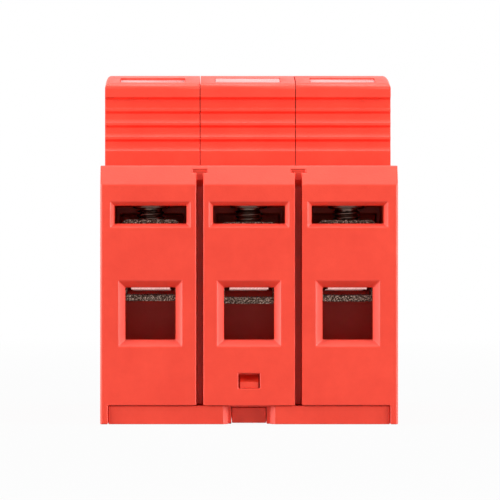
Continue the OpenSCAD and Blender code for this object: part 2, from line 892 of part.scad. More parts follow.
// The finger flutes at the front end: each is a ledge above a hollow that runs out below
module finger_flutes() {
    r = (flute_h * flute_h + flute_depth * flute_depth) / (2 * flute_depth);
    for (i = [0 : flutes - 1]) {
        ledge_z = lip_z - i * flute_pitch;
        intersection() {
            translate([-plug_w / 2 - past, -plug_half + flute_depth - r, ledge_z])
                rotate([0, 90, 0]) cylinder(h = plug_w + 2 * past, r = r);
            block(
                [-plug_w / 2 - past, -lip_half - past, ledge_z - flute_h - past],
                [plug_w / 2 + past, -plug_half + flute_depth + past, ledge_z]
            );
        }
    }
}

// The flat pads on both sides of a cartridge, which keep the next one straight
module side_pads() {
    intersection() {
        across(plug_w + 2 * pad_t) polygon([
            [-plug_half + pad_inset, plug_z + pad_inset],
            [-plug_half + pad_inset, crest_z],
            [plug_half - pad_inset, crest_z],
            [plug_half - pad_inset, plug_z + pad_inset]
        ]);
        arched(-plug_w / 2 - pad_t, plug_w / 2 + pad_t, arch_r - pad_inset, 0, 0);
    }
}

module cartridge_shell(pole) {
    left_round = pole == 0 ? side_round : 0;
    right_round = pole == 2 ? side_round : 0;
    color(RED) at_pole(pole) difference() {
        union() {
            difference() {
                intersection() {
                    across(plug_w) plug_outline();
                    arched(-plug_w / 2, plug_w / 2, arch_r, left_round, right_round);
                }
                for (rear = [0, 1]) {
                    mirror([0, rear, 0]) {
                        across(plug_w + 2 * past) lip_corner();
                        finger_flutes();
                    }
                }
            }
            side_pads();
        }
        block(
            [-room_half_w, -room_half_len, plug_z - past],
            [room_half_w, room_half_len, room_top_z]
        );
        // Seat and opening of the status window
        block(
            [-lens_w / 2 - push_gap, lens_y0 - push_gap, room_top_z + ledge_t],
            [lens_w / 2 + push_gap, lens_y1 + push_gap, crest_z + past]
        );
        block(
            [-lens_w / 2 + lens_ledge, lens_y0 + lens_ledge, room_top_z - past],
            [lens_w / 2 - lens_ledge, lens_y1 - lens_ledge, crest_z + past]
        );
    }
}

module cartridge_floor(pole) {
    color(RED) at_pole(pole) difference() {
        block(
            [-room_half_w + push_gap, -room_half_len + push_gap, plug_z],
            [room_half_w - push_gap, room_half_len - push_gap, floor_top_z]
        );
        for (side = [-1, 1]) {
            block(
                [-blade_t / 2 - push_gap, side * blade_y - blade_w / 2 - push_gap, plug_z - past],
                [blade_t / 2 + push_gap, side * blade_y + blade_w / 2 + push_gap, floor_top_z + past]
            );
        }
    }
}

module status_window(pole) {
    color([0.92, 0.90, 0.88, 0.6]) at_pole(pole) intersection() {
        block(
            [-lens_w / 2, lens_y0, room_top_z + ledge_t],
            [lens_w / 2, lens_y1, crest_z]
        );
        arched(-lens_w / 2, lens_w / 2, arch_r - lens_sink, 0, 0);
    }
}

module varistor(pole) {
    color([0.20, 0.32, 0.55]) at_pole(pole) block(
        [varistor_x0, -varistor_len / 2, varistor_z],
        [varistor_x1, varistor_len / 2, varistor_top_z]
    );
}

// The blade's own part, from the cartridge floor down, with a pointed end
module blade_tail(y) {
    along(y - blade_w / 2, y + blade_w / 2) polygon([
        [-blade_t / 2, floor_top_z + blade_t],
        [-blade_t / 2, blade_tip_z + 2 * blade_point],
        [-blade_t / 2 + blade_point, blade_tip_z],
        [blade_t / 2 - blade_point, blade_tip_z],
        [blade_t / 2, blade_tip_z + 2 * blade_point],
        [blade_t / 2, floor_top_z + blade_t]
    ]);
}

// The front blade and its plate on one face of the varistor
module blade_front(pole) {
    y0 = -blade_y - blade_w / 2;
    y1 = -blade_y + blade_w / 2;
    plate_z = varistor_z + plate_margin;
    color(TIN) at_pole(pole) union() {
        blade_tail(-blade_y);
        block([varistor_x0 - blade_t, y0, floor_top_z], [blade_t / 2, y1, floor_top_z + blade_t]);
        block([varistor_x0 - blade_t, y0, floor_top_z], [varistor_x0, y1, plate_z + past]);
        block([varistor_x0 - blade_t, y0, plate_z], [varistor_x0, -y1, varistor_top_z - plate_margin]);
    }
}

// The rear blade and its arm, soldered to the middle of the varistor's other face
module blade_rear(pole) {
    y0 = blade_y - blade_w / 2;
    y1 = blade_y + blade_w / 2;
    arm_z = varistor_z + varistor_h / 2;
    color(TIN) at_pole(pole) union() {
        blade_tail(blade_y);
        block([-blade_t / 2, y0, floor_top_z], [varistor_x1 + blade_t, y1, floor_top_z + blade_t]);
        block([varistor_x1, y0, floor_top_z], [varistor_x1 + blade_t, y1, arm_z]);
        block([varistor_x1, -blade_w / 2, arm_z - blade_w], [varistor_x1 + blade_t, y1, arm_z]);
    }
}

// The flag under the status window, with a leg that its spring pushes
module trip_flag(pole) {
    color([0.25, 0.62, 0.30]) at_pole(pole) union() {
        block([-flag_w / 2, flag_y0, flag_z], [flag_w / 2, flag_y1, flag_z + flag_t]);
        block([leg_x0, leg_y0, flag_spring_z - flag_spring_d], [leg_x1, flag_y1, flag_z + flag_t]);
    }
}

module trip_spring(pole) {
    length = leg_y0 + room_half_len - 2 * push_gap;
    color(STEEL) at_pole(pole) translate([flag_spring_x, -room_half_len + push_gap, flag_spring_z])
        rotate([-90, 0, 0]) coil(flag_spring_d, length, 8);
}

base_housing();
base_plate();
rail_latch();
latch_spring();
contact_strap(0, 0);  // contact_strap_front_1
contact_strap(1, 0);  // contact_strap_front_2
contact_strap(2, 0);  // contact_strap_front_3
contact_strap(0, 1);  // contact_strap_rear_1
contact_strap(1, 1);  // contact_strap_rear_2
contact_strap(2, 1);  // contact_strap_rear_3
socket_clip(0, 0);  // socket_clip_front_1
socket_clip(1, 0);  // socket_clip_front_2
socket_clip(2, 0);  // socket_clip_front_3
socket_clip(0, 1);  // socket_clip_rear_1
socket_clip(1, 1);  // socket_clip_rear_2
socket_clip(2, 1);  // socket_clip_rear_3
terminal_screw(0, 0);  // terminal_screw_front_1
terminal_screw(1, 0);  // terminal_screw_front_2
terminal_screw(2, 0);  // terminal_screw_front_3
terminal_screw(0, 1);  // terminal_screw_rear_1
terminal_screw(1, 1);  // terminal_screw_rear_2
terminal_screw(2, 1);  // terminal_screw_rear_3
clamp_cage(0, 0);  // clamp_cage_front_1
clamp_cage(1, 0);  // clamp_cage_front_2
clamp_cage(2, 0);  // clamp_cage_front_3
clamp_cage(0, 1);  // clamp_cage_rear_1
clamp_cage(1, 1);  // clamp_cage_rear_2
clamp_cage(2, 1);  // clamp_cage_rear_3
cartridge_shell(0);  // cartridge_shell_1
cartridge_shell(1);  // cartridge_shell_2
cartridge_shell(2);  // cartridge_shell_3
cartridge_floor(0);  // cartridge_floor_1
cartridge_floor(1);  // cartridge_floor_2
cartridge_floor(2);  // cartridge_floor_3
status_window(0);  // status_window_1
status_window(1);  // status_window_2
status_window(2);  // status_window_3
varistor(0);  // varistor_1
varistor(1);  // varistor_2
varistor(2);  // varistor_3
blade_front(0);  // blade_front_1
blade_front(1);  // blade_front_2
blade_front(2);  // blade_front_3
blade_rear(0);  // blade_rear_1
blade_rear(1);  // blade_rear_2
blade_rear(2);  // blade_rear_3
trip_flag(0);  // trip_flag_1
trip_flag(1);  // trip_flag_2
trip_flag(2);  // trip_flag_3
trip_spring(0);  // trip_spring_1
trip_spring(1);  // trip_spring_2
trip_spring(2);  // trip_spring_3
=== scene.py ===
import math

import bmesh
import bpy
from mathutils import Matrix, Vector


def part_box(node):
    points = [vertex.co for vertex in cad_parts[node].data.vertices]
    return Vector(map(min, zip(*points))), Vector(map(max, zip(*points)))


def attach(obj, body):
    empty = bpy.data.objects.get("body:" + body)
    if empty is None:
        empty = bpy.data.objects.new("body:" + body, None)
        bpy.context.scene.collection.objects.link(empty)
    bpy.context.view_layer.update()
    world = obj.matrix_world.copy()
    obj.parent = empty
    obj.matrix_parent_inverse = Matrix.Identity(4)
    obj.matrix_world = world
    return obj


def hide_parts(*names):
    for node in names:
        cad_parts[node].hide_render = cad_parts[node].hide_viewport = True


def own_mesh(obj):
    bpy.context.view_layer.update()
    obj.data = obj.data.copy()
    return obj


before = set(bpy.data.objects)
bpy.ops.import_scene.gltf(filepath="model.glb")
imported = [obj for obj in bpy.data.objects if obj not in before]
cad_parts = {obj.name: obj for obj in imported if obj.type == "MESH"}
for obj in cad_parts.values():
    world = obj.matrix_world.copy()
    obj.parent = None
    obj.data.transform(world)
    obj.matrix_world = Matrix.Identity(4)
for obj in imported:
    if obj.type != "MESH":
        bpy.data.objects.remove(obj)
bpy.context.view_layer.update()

MM = 0.001
POLES = (1, 2, 3)
TERMINALS = [f"{end}_{pole}" for end in ("front", "rear") for pole in POLES]


# Colours and shader nodes

def linear(hex_code):
    """A colour written as sRGB hex, as linear red, green, blue and alpha."""
    parts = [int(hex_code[i:i + 2], 16) / 255 for i in (1, 3, 5)]
    curve = [p / 12.92 if p <= 0.04045 else ((p + 0.055) / 1.055) ** 2.4 for p in parts]
    return (*curve, 1.0)


def add_node(tree, kind, settings=None, links=None):
    """Adds a shader node. A setting is a property, or a socket by name or number. A link feeds one."""
    made = tree.nodes.new(kind)
    for key, value in (settings or {}).items():
        if isinstance(key, str) and key.islower():
            setattr(made, key, value)
        else:
            made.inputs[key].default_value = value
    for key, source in (links or {}).items():
        tree.links.new(source, made.inputs[key])
    return made


def new_finish(name, settings):
    """A material with one Principled shader, and the coordinates of the piece in metres."""
    finish = bpy.data.materials.new(name)
    finish.use_nodes = True
    tree = finish.node_tree
    tree.nodes.clear()
    shader = add_node(tree, "ShaderNodeBsdfPrincipled", settings)
    add_node(tree, "ShaderNodeOutputMaterial", links={"Surface": shader.outputs["BSDF"]})
    place = add_node(tree, "ShaderNodeTexCoord").outputs["Object"]
    return finish, tree, shader, place


def per_mm(size_mm):
    """Texture scale whose cells are about this many millimetres wide."""
    return 1 / (size_mm * MM)


def blend_colours(tree, shader, factor, low, high, start=0.3, stop=0.7):
    """Runs the shader's colour from one tone to another between two values of a factor."""
    ramp = add_node(tree, "ShaderNodeValToRGB", links={"Fac": factor})
    for point, place, tone in zip(ramp.color_ramp.elements, (start, stop), (low, high)):
        point.position = place
        point.color = linear(tone)
    tree.links.new(ramp.outputs["Color"], shader.inputs["Base Color"])


def spread_roughness(tree, shader, factor, low, high):
    """Runs the shader's roughness between two values along a factor."""
    spread = add_node(tree, "ShaderNodeMapRange", {"To Min": low, "To Max": high}, {"Value": factor})
    tree.links.new(spread.outputs["Result"], shader.inputs["Roughness"])


def raise_grain(tree, shader, height, depth_mm, strength):
    """Turns a pattern into relief of a real depth."""
    relief = add_node(
        tree, "ShaderNodeBump",
        {"Strength": strength, "Distance": depth_mm * MM},
        {"Height": height},
    )
    tree.links.new(relief.outputs["Normal"], shader.inputs["Normal"])


# Finishes

def moulded_red_pbt():
    """Red PBT moulded in a spark-eroded tool: a satin face with a fine even grain and tone drift."""
    finish, tree, shader, place = new_finish("spark_textured_moulded_red_pbt", {"IOR": 1.55})
    # The real grain is about 0.1 mm; it is drawn at 0.3 mm so that it shows in the render
    grain = add_node(
        tree, "ShaderNodeTexNoise",
        {"Scale": per_mm(0.3), "Detail": 2.0, "Roughness": 0.5},
        {"Vector": place},
    )
    drift = add_node(
        tree, "ShaderNodeTexNoise",
        {"Scale": per_mm(6), "Detail": 5.0, "Roughness": 0.65},
        {"Vector": place},
    )
    blend_colours(tree, shader, drift.outputs["Fac"], "#EE3E28", "#F84730")
    spread_roughness(tree, shader, grain.outputs["Fac"], 0.38, 0.54)
    raise_grain(tree, shader, grain.outputs["Fac"], 0.03, 0.7)
    return finish


def frosted_polycarbonate():
    """Polycarbonate moulded with an etched face: a milky pale pink that glows in top light."""
    finish, tree, shader, place = new_finish(
        "etched_moulded_polycarbonate",
        {"IOR": 1.585, "Transmission Weight": 0.4},
    )
    frost = add_node(
        tree, "ShaderNodeTexNoise",
        {"Scale": per_mm(0.4), "Detail": 2.0},
        {"Vector": place},
    )
    blend_colours(tree, shader, frost.outputs["Fac"], "#FF9F99", "#FFB3AE")
    spread_roughness(tree, shader, frost.outputs["Fac"], 0.18, 0.3)
    return finish


def moulded_green_abs():
    """Green ABS moulded in a plain tool: an even satin face with faint flow marks along the piece."""
    finish, tree, shader, place = new_finish("satin_moulded_green_abs", {"IOR": 1.54})
    flow = add_node(tree, "ShaderNodeTexNoise", {"Scale": per_mm(3), "Detail": 2.0}, {"Vector": place})
    blend_colours(tree, shader, flow.outputs["Fac"], "#2E9A45", "#38A650")
    spread_roughness(tree, shader, flow.outputs["Fac"], 0.35, 0.45)
    return finish


def dipped_blue_epoxy():
    """Epoxy powder coat sintered on a dipped ceramic block: a blue skin with an orange-peel surface."""
    finish, tree, shader, place = new_finish("sintered_blue_epoxy_coat", {"IOR": 1.56})
    peel = add_node(tree, "ShaderNodeTexNoise", {"Scale": per_mm(0.9), "Detail": 2.0}, {"Vector": place})
    blend_colours(tree, shader, peel.outputs["Fac"], "#25457E", "#2E5290")
    spread_roughness(tree, shader, peel.outputs["Fac"], 0.3, 0.45)
    raise_grain(tree, shader, peel.outputs["Fac"], 0.08, 0.5)
    return finish


def slot_shaded_cage_finish():
    """Zinc plate on sheared steel strip: a dark brown that is painted shade of the terminal cavities,
    with bright spots at random and a stamped grain.
    """
    finish, tree, shader, place = new_finish("zinc_cage_steel_painted_shade", {"Metallic": 1.0})
    # Stamping marks are about 0.05 mm wide; they are drawn at 0.25 mm so that they show in the render
    marks = add_node(
        tree, "ShaderNodeTexNoise",
        {"Scale": per_mm(0.25), "Detail": 3.0, "Roughness": 0.6},
        {"Vector": place},
    )
    # The dark brown low tone is painted shade of the terminal cavities, laid into the metal's colour.
    blend_colours(tree, shader, marks.outputs["Fac"], "#38261F", "#C2A698", 0.5, 0.68)
    spread_roughness(tree, shader, marks.outputs["Fac"], 0.15, 0.4)
    raise_grain(tree, shader, marks.outputs["Fac"], 0.15, 0.8)
    return finish


def slot_shaded_screw_finish():
    """Zinc plate on a rolled steel thread, in rings of pale and dark warm tone; the dark warm brown is
    painted shade of the slot, tinted with painted reflection of the red moulding.
    """
    finish, tree, shader, place = new_finish("zinc_screw_steel_painted_slot_shade", {"Metallic": 1.0})
    rings = add_node(
        tree, "ShaderNodeTexWave",
        {"bands_direction": "Z", "Scale": per_mm(0.4), "Distortion": 2.0, "Detail": 2.0},
        {"Vector": place},
    )
    # The dark warm brown low tone is painted shade of the slot, tinted with painted reflection of the red
    # moulding.
    blend_colours(tree, shader, rings.outputs["Fac"], "#3A2620", "#AC9488", 0.4, 0.95)
    spread_roughness(tree, shader, rings.outputs["Fac"], 0.22, 0.38)
    return finish


def drawn_spring_wire():
    """Patented steel wire, cold drawn: grey with fine streaks and a slight oil shine."""
    finish, tree, shader, place = new_finish("cold_drawn_spring_steel", {"Metallic": 1.0})
    streaks = add_node(
        tree, "ShaderNodeTexNoise",
        {"Scale": per_mm(0.3), "Detail": 3.0},
        {"Vector": place},
    )
    blend_colours(tree, shader, streaks.outputs["Fac"], "#84858A", "#AEB0B5")
    spread_roughness(tree, shader, streaks.outputs["Fac"], 0.25, 0.4)
    return finish


def red_reflecting_copper_finish():
    """Tin plate on rolled copper strip: soft silver with a pink cast that is painted reflection of the
    red moulding, and rolling lines along it.
    """
    finish, tree, shader, place = new_finish("tin_plated_copper_painted_red_reflection", {"Metallic": 1.0})
    stretch = add_node(
        tree, "ShaderNodeMapping",
        {"Scale": (per_mm(0.25), per_mm(4), per_mm(0.25))},
        {"Vector": place},
    )
    lines = add_node(
        tree, "ShaderNodeTexNoise",
        {"Scale": 1.0, "Detail": 2.0},
        {"Vector": stretch.outputs["Vector"]},
    )
    # The pink cast of both tones is painted reflection of the red moulding.
    blend_colours(tree, shader, lines.outputs["Fac"], "#E6ABA4", "#FFCCC5")
    spread_roughness(tree, shader, lines.outputs["Fac"], 0.12, 0.26)
    return finish


def rolled_bronze():
    """Phosphor bronze, rolled and blanked: warm brown metal with fine lines and a soft shine."""
    finish, tree, shader, place = new_finish("rolled_phosphor_bronze", {"Metallic": 1.0})
    stretch = add_node(
        tree, "ShaderNodeMapping",
        {"Scale": (per_mm(0.3), per_mm(3), per_mm(0.3))},
        {"Vector": place},
    )
    lines = add_node(
        tree, "ShaderNodeTexNoise",
        {"Scale": 1.0, "Detail": 2.0},
        {"Vector": stretch.outputs["Vector"]},
    )
    blend_colours(tree, shader, lines.outputs["Fac"], "#B07C4C", "#CC9A66")
    spread_roughness(tree, shader, lines.outputs["Fac"], 0.25, 0.4)
    return finish


red_plastic = moulded_red_pbt()
window_plastic = frosted_polycarbonate()
flag_plastic = moulded_green_abs()
varistor_coat = dipped_blue_epoxy()
painted_shade_cage_metal = slot_shaded_cage_finish()
painted_shade_screw_metal = slot_shaded_screw_finish()
spring_wire = drawn_spring_wire()
painted_pink_copper_metal = red_reflecting_copper_finish()
spring_bronze = rolled_bronze()


# Mesh tools

# Faces that meet at less than this angle, in degrees, are shaded as one round face
SMOOTH_ANGLE = 40
# Points this close, in millimetres, are one point
SAME_POINT = 0.002


def join_points(piece, name, reach_mm):
    """Joins the points of a piece that lie closer than this."""
    weld = piece.modifiers.new(name, "WELD")
    weld.merge_threshold = reach_mm * MM


def skin_mesh(name, loops):
    """A closed mesh through a row of loops of points, with a flat end at each end of the row."""
    form = bmesh.new()
    rows = [[form.verts.new(point) for point in loop] for loop in loops]
    for row, following in zip(rows, rows[1:]):
        for j in range(len(row)):
            k = (j + 1) % len(row)
            form.faces.new((row[j], row[k], following[k], following[j]))
    form.faces.new(list(reversed(rows[0])))
    form.faces.new(rows[-1])
    if form.calc_volume(signed=True) < 0:
        bmesh.ops.reverse_faces(form, faces=form.faces)
    mesh = bpy.data.meshes.new(name)
    form.to_mesh(mesh)
    form.free()
    return mesh


def smooth_faces(mesh):
    """Shades a mesh as round, apart from its sharp edges."""
    mesh.polygons.foreach_set("use_smooth", [True] * len(mesh.polygons))
    mesh.set_sharp_from_angle(angle=math.radians(SMOOTH_ANGLE))


# Forms that the plain solids lack, in millimetres

# Reach of a cutting form past the piece that it cuts
CUT_OVER = 1
# Webs behind the grooves between the poles: distance from the middle, and half their width
GROOVE_X = 8.95
GROOVE_HALF = 0.7
# Outline in Y and Z of the web that closes the back of a groove and leaves a ramp below its top
GROOVE_WEB = [
    (-41, 3.45), (-41, 43.15), (-43.064, 44.35), (-43.064, 45.6),
    (-42, 45.6), (-40.5, 43.5), (-31.5, 43.5), (-31.5, 3.45),
]
# Round upright edges of the base, and the room between the limiting column and the flat walls
EDGE_ROUND = 0.52
EDGE_STEPS = 8
EDGE_CLEAR = 0.01
# Finger flutes: top of each, the face that they are cut in, and their section
FLUTE_TOPS = (60.22, 57.6, 54.98, 52.36)
FLUTE_FACE = -22.4
FLUTE_DEPTH = 0.6
FLUTE_LEDGE = 0.4
FLUTE_HOLLOW = 1.8
FLUTE_STEPS = 10
FLUTE_OUTSIDE = 1.5
# Lift of the windows that stand higher than that of the first pole
WINDOW_LIFT = {2: 0.25, 3: 0.1}
# Lower end of the snap window, and the wedge with a flat face that fills the window
SNAP_HALF = 1.95
SNAP_LOW = [(-46, 6.5), (-46, 7), (-42, 7), (-42, 6.5)]
CATCH_HALF = 1.72
CATCH = [(-42.1, 6.55), (-44.7, 6.55), (-44.7, 7.6), (-42.1, 9)]
# Room that is taken from each side of the catch
CATCH_SIDE = [(-46, 6.4), (-46, 9.2), (-42.7, 9.2), (-42.7, 6.4)]
CATCH_SIDE_END = 2.2
# Plan of the plug that closes a side channel of the latch at the front, and its heights
CHANNEL_PLUG = [(4.5, -44.29), (3.81, -43.6), (3.81, -42.69), (3.21, -42.69), (3.21, -42), (4.5, -42)]
CHANNEL_HEIGHTS = (1.1, 2.2)
# Lip at the front of the latch, which reaches down near the foot of the base
LATCH_LIP_HALF = 3.1
LATCH_LIP = [(-42.4, 0.15), (-42.4, 0.6), (-41.3, 0.6), (-41.3, 0.15)]


def bar(outline, x0, x1):
    """A closed bar along X, from an outline in Y and Z, all in millimetres."""
    return skin_mesh("bar", [[(x * MM, y * MM, z * MM) for y, z in outline] for x in (x0, x1)])


def slab(plan, z0, z1):
    """A closed slab between two heights, from a plan in X and Y, all in millimetres."""
    return skin_mesh("slab", [[(x * MM, y * MM, z * MM) for x, y in plan] for z in (z0, z1)])


def both_ends(outline):
    """The outline at the front, and its mirror image at the rear."""
    return outline, [(-y, z) for y, z in outline]


def round_column():
    """The base's plan with round corners, taller than the base."""
    low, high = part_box("base_housing")
    half_x = high[0] / MM + EDGE_CLEAR - EDGE_ROUND
    half_y = high[1] / MM + EDGE_CLEAR - EDGE_ROUND
    plan = []
    for i in range(4 * (EDGE_STEPS + 1)):
        quarter = i // (EDGE_STEPS + 1)
        swing = math.pi / 2 * (quarter + i % (EDGE_STEPS + 1) / EDGE_STEPS)
        side_x = 1 if quarter in (0, 3) else -1
        side_y = 1 if quarter in (0, 1) else -1
        x = side_x * half_x + EDGE_ROUND * math.cos(swing)
        y = side_y * half_y + EDGE_ROUND * math.sin(swing)
        plan.append((x, y))
    return slab(plan, low[2] / MM - CUT_OVER, high[2] / MM + CUT_OVER)


def flute_outline(top):
    """A finger flute: a sloped ledge above a hollow that runs out on the face below."""
    radius = (FLUTE_HOLLOW ** 2 + FLUTE_DEPTH ** 2) / (2 * FLUTE_DEPTH)
    deep = top - FLUTE_LEDGE
    outline = [(FLUTE_FACE - FLUTE_OUTSIDE, top), (FLUTE_FACE, top)]
    for i in range(FLUTE_STEPS + 1):
        drop = FLUTE_HOLLOW * i / FLUTE_STEPS
        depth = FLUTE_DEPTH - radius + math.sqrt(radius ** 2 - drop ** 2)
        outline.append((FLUTE_FACE + depth, deep - drop))
    outline.append((FLUTE_FACE - FLUTE_OUTSIDE, deep - FLUTE_HOLLOW))
    return outline


def recut(node_name, piece_name, body, steps):
    """A piece in place of a solid, with bars added to it, cut from it or set as its limit."""
    piece = bpy.data.objects.new(piece_name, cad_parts[node_name].data.copy())
    bpy.context.scene.collection.objects.link(piece)
    join_points(piece, "joined_points", SAME_POINT)
    tools = []
    for operation, mesh in steps:
        tool = bpy.data.objects.new("tool", mesh)
        bpy.context.scene.collection.objects.link(tool)
        cut = piece.modifiers.new("cut", "BOOLEAN")
        cut.operation = operation
        cut.object = tool
        tools.append(tool)
    bpy.context.view_layer.update()
    mesh = bpy.data.meshes.new_from_object(piece.evaluated_get(bpy.context.evaluated_depsgraph_get()))
    piece.modifiers.clear()
    piece.data = mesh
    for tool in tools:
        bpy.data.objects.remove(tool)
    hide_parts(node_name)
    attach(piece, body)
    pieces[node_name] = piece


pieces = dict(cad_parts)
webs = [
    ("UNION", bar(outline, side * GROOVE_X - GROOVE_HALF, side * GROOVE_X + GROOVE_HALF))
    for side in (-1, 1) for outline in both_ends(GROOVE_WEB)
]
snap_cuts = [("DIFFERENCE", bar(outline, -SNAP_HALF, SNAP_HALF)) for outline in both_ends(SNAP_LOW)]
limits = [("INTERSECT", round_column())]
recut("base_housing", "moulded_housing", "base", webs + snap_cuts + limits)
trims = [
    ("DIFFERENCE", bar(outline, side * CATCH_HALF, side * CATCH_SIDE_END))
    for side in (-1, 1) for outline in both_ends(CATCH_SIDE)
]
catches = [("UNION", bar(outline, -CATCH_HALF, CATCH_HALF)) for outline in both_ends(CATCH)]
plugs = [
    ("UNION", slab([(side * x, y) for x, y in CHANNEL_PLUG], *CHANNEL_HEIGHTS))
    for side in (-1, 1)
]
recut("base_plate", "moulded_plate", "base", trims + catches + plugs)
lip = [("UNION", bar(LATCH_LIP, -LATCH_LIP_HALF, LATCH_LIP_HALF))]
recut("rail_latch", "lipped_latch", "latch", lip)
for pole in POLES:
    low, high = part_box(f"cartridge_shell_{pole}")
    flutes = [
        ("DIFFERENCE", bar(outline, low[0] / MM - CUT_OVER, high[0] / MM + CUT_OVER))
        for top in FLUTE_TOPS for outline in both_ends(flute_outline(top))
    ]
    recut(f"cartridge_shell_{pole}", f"fluted_shell_{pole}", f"cartridge_{pole}", flutes)
for pole, lift in WINDOW_LIFT.items():
    recut(f"status_window_{pole}", f"raised_window_{pole}", f"cartridge_{pole}", [])
    pieces[f"status_window_{pole}"].data.transform(Matrix.Translation((0, 0, lift * MM)))


# Finishes and rounded edges

# Angles in degrees: faces that count as one flat face, and edges that are rounded
FLAT_ANGLE = 0.5
SHARP_ANGLE = 28
EDGE_SEGMENTS = 2
# Slivers between rounds that are narrower than this, in millimetres, are closed
SLIVER = 0.001


def dress(node_name, finish, edge_mm, join_mm=SAME_POINT, clamp=True):
    """Gives a piece its finish and rounds its edges. Without clamp, short edges don't thin the rounds."""
    piece = pieces[node_name]
    piece.data.materials.clear()
    piece.data.materials.append(finish)
    if edge_mm == 0:
        return
    join_points(piece, "joined_points", join_mm)
    flat = piece.modifiers.new("flat_faces", "DECIMATE")
    flat.decimate_type = "DISSOLVE"
    flat.angle_limit = math.radians(FLAT_ANGLE)
    edge = piece.modifiers.new("rounded_edges", "BEVEL")
    edge.width = edge_mm * MM
    edge.segments = EDGE_SEGMENTS
    edge.limit_method = "ANGLE"
    edge.angle_limit = math.radians(SHARP_ANGLE)
    edge.use_clamp_overlap = clamp
    edge.harden_normals = True
    join_points(piece, "closed_slivers", SLIVER)


dress("base_housing", red_plastic, 0.18, clamp=False)
dress("base_plate", red_plastic, 0.1, join_mm=0.02, clamp=False)
dress("rail_latch", red_plastic, 0.2)
for terminal in TERMINALS:
    dress(f"contact_strap_{terminal}", painted_pink_copper_metal, 0.1)
    dress(f"socket_clip_{terminal}", spring_bronze, 0.08)
    dress(f"clamp_cage_{terminal}", painted_shade_cage_metal, 0.1)
for pole in POLES:
    dress(f"cartridge_shell_{pole}", red_plastic, 0.12, join_mm=0.04)
    dress(f"cartridge_floor_{pole}", red_plastic, 0.1)
    dress(f"status_window_{pole}", window_plastic, 0.1)
    dress(f"varistor_{pole}", varistor_coat, 0.6)
    dress(f"blade_front_{pole}", painted_pink_copper_metal, 0.08)
    dress(f"blade_rear_{pole}", painted_pink_copper_metal, 0.08)
    dress(f"trip_flag_{pole}", flag_plastic, 0.15)
    dress(f"trip_spring_{pole}", spring_wire, 0)


# Latch spring of round wire

WIRE = 0.4 * MM
WIRE_SIDES = 12
COIL_TURNS = 9
STEPS_PER_TURN = 28


def coil_loops(low, high):
    """Round sections of a wire that is wound along Y and fills this box."""
    radius = (high[0] - low[0] - WIRE) / 2
    pitch = (high[1] - low[1] - WIRE) / COIL_TURNS
    loops = []
    for i in range(COIL_TURNS * STEPS_PER_TURN + 1):
        turn = i / STEPS_PER_TURN
        swing = 2 * math.pi * turn
        loop = []
        for j in range(WIRE_SIDES):
            roll = 2 * math.pi * j / WIRE_SIDES
            reach = radius + WIRE / 2 * math.cos(roll)
            along = low[1] + turn * pitch + WIRE / 2 * (1 + math.sin(roll))
            x = (low[0] + high[0]) / 2 + reach * math.cos(swing)
            z = (low[2] + high[2]) / 2 + reach * math.sin(swing)
            loop.append((x, along, z))
        loops.append(loop)
    return loops


def wind_latch_spring():
    """The spring stays on its post in the base plate."""
    low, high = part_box("latch_spring")
    mesh = skin_mesh("wound_latch_spring", coil_loops(low, high))
    mesh.materials.append(spring_wire)
    smooth_faces(mesh)
    spring = bpy.data.objects.new("wound_latch_spring", mesh)
    bpy.context.scene.collection.objects.link(spring)
    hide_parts("latch_spring")
    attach(spring, "base")
    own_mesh(spring)


wind_latch_spring()


# Terminal screws with a rolled thread and a combined slot and cross drive

SCREW_SIDES = 40
THREAD_PITCH = 0.8 * MM
THREAD_DEPTH = 0.43 * MM
RINGS_PER_PITCH = 10
HEAD_HEIGHT = 3.0 * MM
HEAD_DOME = 0.35 * MM
HEAD_EDGE = 0.5 * MM
HEAD_EDGE_STEPS = 4
HEAD_INSET = 0.25 * MM
HEAD_BEVEL = 0.15 * MM
# Rings on the dome, as shares of its radius, and how far it falls toward its rim
DOME_RINGS = (0.7, 0.35)
DOME_FALL = 0.9
SHANK_R = 2.5 * MM
NECK = 0.5 * MM
NECK_SHARE = 0.6
TIP_BEVEL = 0.5 * MM
DRIVE_WIDTH = 1.1 * MM
DRIVE_DEPTH = 1.6 * MM
# Reach of the two slots, as shares of the radius of the head
SLOT_REACH = 1.2
CROSS_REACH = 0.64
# Slope of the thread's flanks, and the rise that is cut off for a flat crest
FLANK_SLOPE = 2.6
CREST_CUT = 0.25
# Degrees that each screw was left turned
SCREW_TURNS = (25, 70, -35, 110, 10, 55)


def thread_radius(z, turn):
    """Radius of the thread at a height and an angle: flat crest, sloped flanks, narrow root."""
    phase = (z / THREAD_PITCH - turn / (2 * math.pi)) % 1
    ramp = min(1.0, max(0.0, abs(phase - 0.5) * FLANK_SLOPE - CREST_CUT))
    return SHANK_R - THREAD_DEPTH * ramp


